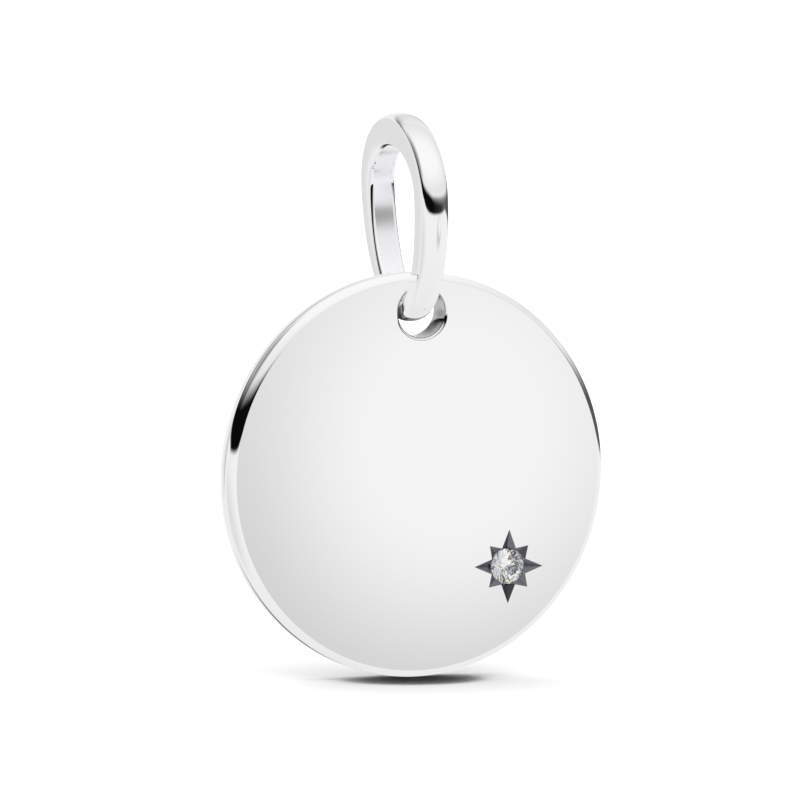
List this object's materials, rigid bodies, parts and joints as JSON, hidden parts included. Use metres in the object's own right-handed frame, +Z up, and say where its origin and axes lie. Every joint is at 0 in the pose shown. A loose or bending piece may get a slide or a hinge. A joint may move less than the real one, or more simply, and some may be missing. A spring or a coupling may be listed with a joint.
{
  "type": "tag pendant",
  "caption": "Round polished tag pendant with an engraved star, a small round brilliant in it, and a flat band ring bail that the tag hangs from and swings on.",
  "frame": {"origin": "top of the bail's inside, in the middle of the band, where a chain carries the pendant", "axes": "+Z up, the way the pendant hangs; the engraved face of the tag looks along -Y; +X to the right as seen from the front"},
  "size_m": [0.016, 0.0084, 0.0222],
  "materials": {
    "polished_silver": "mirror polished sterling silver, darkened in the engraved star",
    "clear_stone": "clear faceted stone"
  },
  "bodies": {
    "bail": {"bail": "polished_silver"},
    "tag": {"tag": "polished_silver", "stone": "clear_stone"}
  },
  "joints": [
    {"name": "tag_swing", "type": "hinge", "parent": "bail", "child": "tag", "pos_m": [0.00072, 0, -0.00653], "axis": [0, 1, 0], "range_deg": [-104, 91]}
  ]
}
